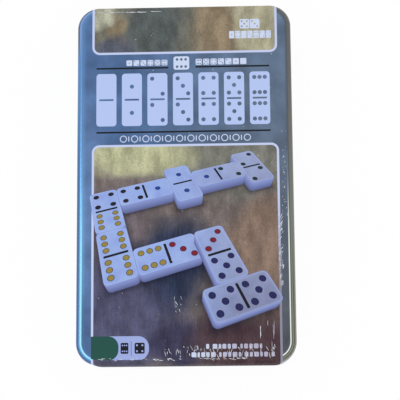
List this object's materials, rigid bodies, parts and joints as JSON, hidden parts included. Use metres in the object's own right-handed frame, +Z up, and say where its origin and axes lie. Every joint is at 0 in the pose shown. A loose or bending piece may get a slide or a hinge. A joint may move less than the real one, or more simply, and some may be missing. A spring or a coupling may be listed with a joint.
{
  "type": "domino storage box",
  "caption": "Flat rectangular slip-lid tin with rounded corners, an inner tray, two layers of domino tiles and a stitched rules booklet.",
  "frame": {"origin": "middle of the underside of the closed tin, on the table", "axes": "+Z up out of the lid, X across the tin's width, +Y along its length towards the end printed with the title panel"},
  "size_m": [0.114, 0.191, 0.028],
  "materials": {
    "base_tin": "dark slate lacquered tinplate, glossy",
    "lid_tin": "printed and varnished tinplate, satin gloss",
    "tray_plastic": "black vacuum-formed sheet",
    "tile_plastic": "polished white with sunken coloured pips",
    "cover_paper": "printed cover stock, semi-matt",
    "page_paper": "uncoated white paper",
    "staple_steel": "bright flat wire"
  },
  "bodies": {
    "base": {"base": "base_tin"},
    "tray": {"tray": "tray_plastic"},
    "lower_tiles": {"tile_0_0": "tile_plastic", "tile_0_1": "tile_plastic", "tile_0_2": "tile_plastic", "tile_0_5": "tile_plastic", "tile_0_6": "tile_plastic", "tile_1_1": "tile_plastic", "tile_1_5": "tile_plastic", "tile_1_6": "tile_plastic", "tile_2_2": "tile_plastic", "tile_2_6": "tile_plastic", "tile_3_3": "tile_plastic", "tile_4_4": "tile_plastic", "tile_4_5": "tile_plastic", "tile_4_6": "tile_plastic"},
    "upper_tiles": {"tile_0_3": "tile_plastic", "tile_0_4": "tile_plastic", "tile_1_2": "tile_plastic", "tile_1_3": "tile_plastic", "tile_1_4": "tile_plastic", "tile_2_3": "tile_plastic", "tile_2_4": "tile_plastic", "tile_2_5": "tile_plastic", "tile_3_4": "tile_plastic", "tile_3_5": "tile_plastic", "tile_3_6": "tile_plastic", "tile_5_5": "tile_plastic", "tile_5_6": "tile_plastic", "tile_6_6": "tile_plastic"},
    "booklet": {"booklet_cover": "cover_paper", "booklet_pages": "page_paper", "staples": "staple_steel"},
    "lid": {"lid": "lid_tin"}
  },
  "joints": [
    {"name": "tray_lift", "type": "slide", "parent": "base", "child": "tray", "axis": [0, 0, 1], "range_m": [0, 0.035]},
    {"name": "lower_tiles_lift", "type": "slide", "parent": "tray", "child": "lower_tiles", "axis": [0, 0, 1], "range_m": [0, 0.03]},
    {"name": "upper_tiles_lift", "type": "slide", "parent": "lower_tiles", "child": "upper_tiles", "axis": [0, 0, 1], "range_m": [0, 0.03]},
    {"name": "booklet_lift", "type": "slide", "parent": "upper_tiles", "child": "booklet", "axis": [0, 0, 1], "range_m": [0, 0.03]},
    {"name": "lid_lift", "type": "slide", "parent": "booklet", "child": "lid", "axis": [0, 0, 1], "range_m": [0, 0.06]}
  ]
}
